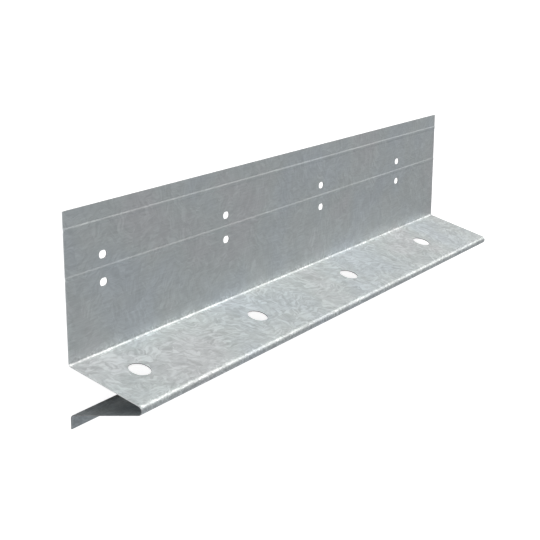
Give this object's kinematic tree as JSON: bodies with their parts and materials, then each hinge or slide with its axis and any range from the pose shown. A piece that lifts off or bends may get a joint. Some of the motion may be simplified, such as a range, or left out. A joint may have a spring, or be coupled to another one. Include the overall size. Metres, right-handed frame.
{
  "type": "foundation weep screed",
  "caption": "Folded galvanised sheet strip with a ribbed nailing flange, a sloped ledge with weep holes, a rounded nose and a lip; ends plaster above a foundation and drains the wall.",
  "frame": {"origin": "centre of the strip's outline on the floor, under the middle of its back", "axes": "+X along the strip, +Y up the wall from the lip to the flange's top edge, +Z out of the wall from the flat back towards the nose"},
  "size_m": [0.4718, 0.1274, 0.0524],
  "materials": {
    "galvanised_sheet": "bright galvanised, fine spangle"
  },
  "bodies": {
    "root": {"weep_screed": "galvanised_sheet"}
  },
  "joints": []
}
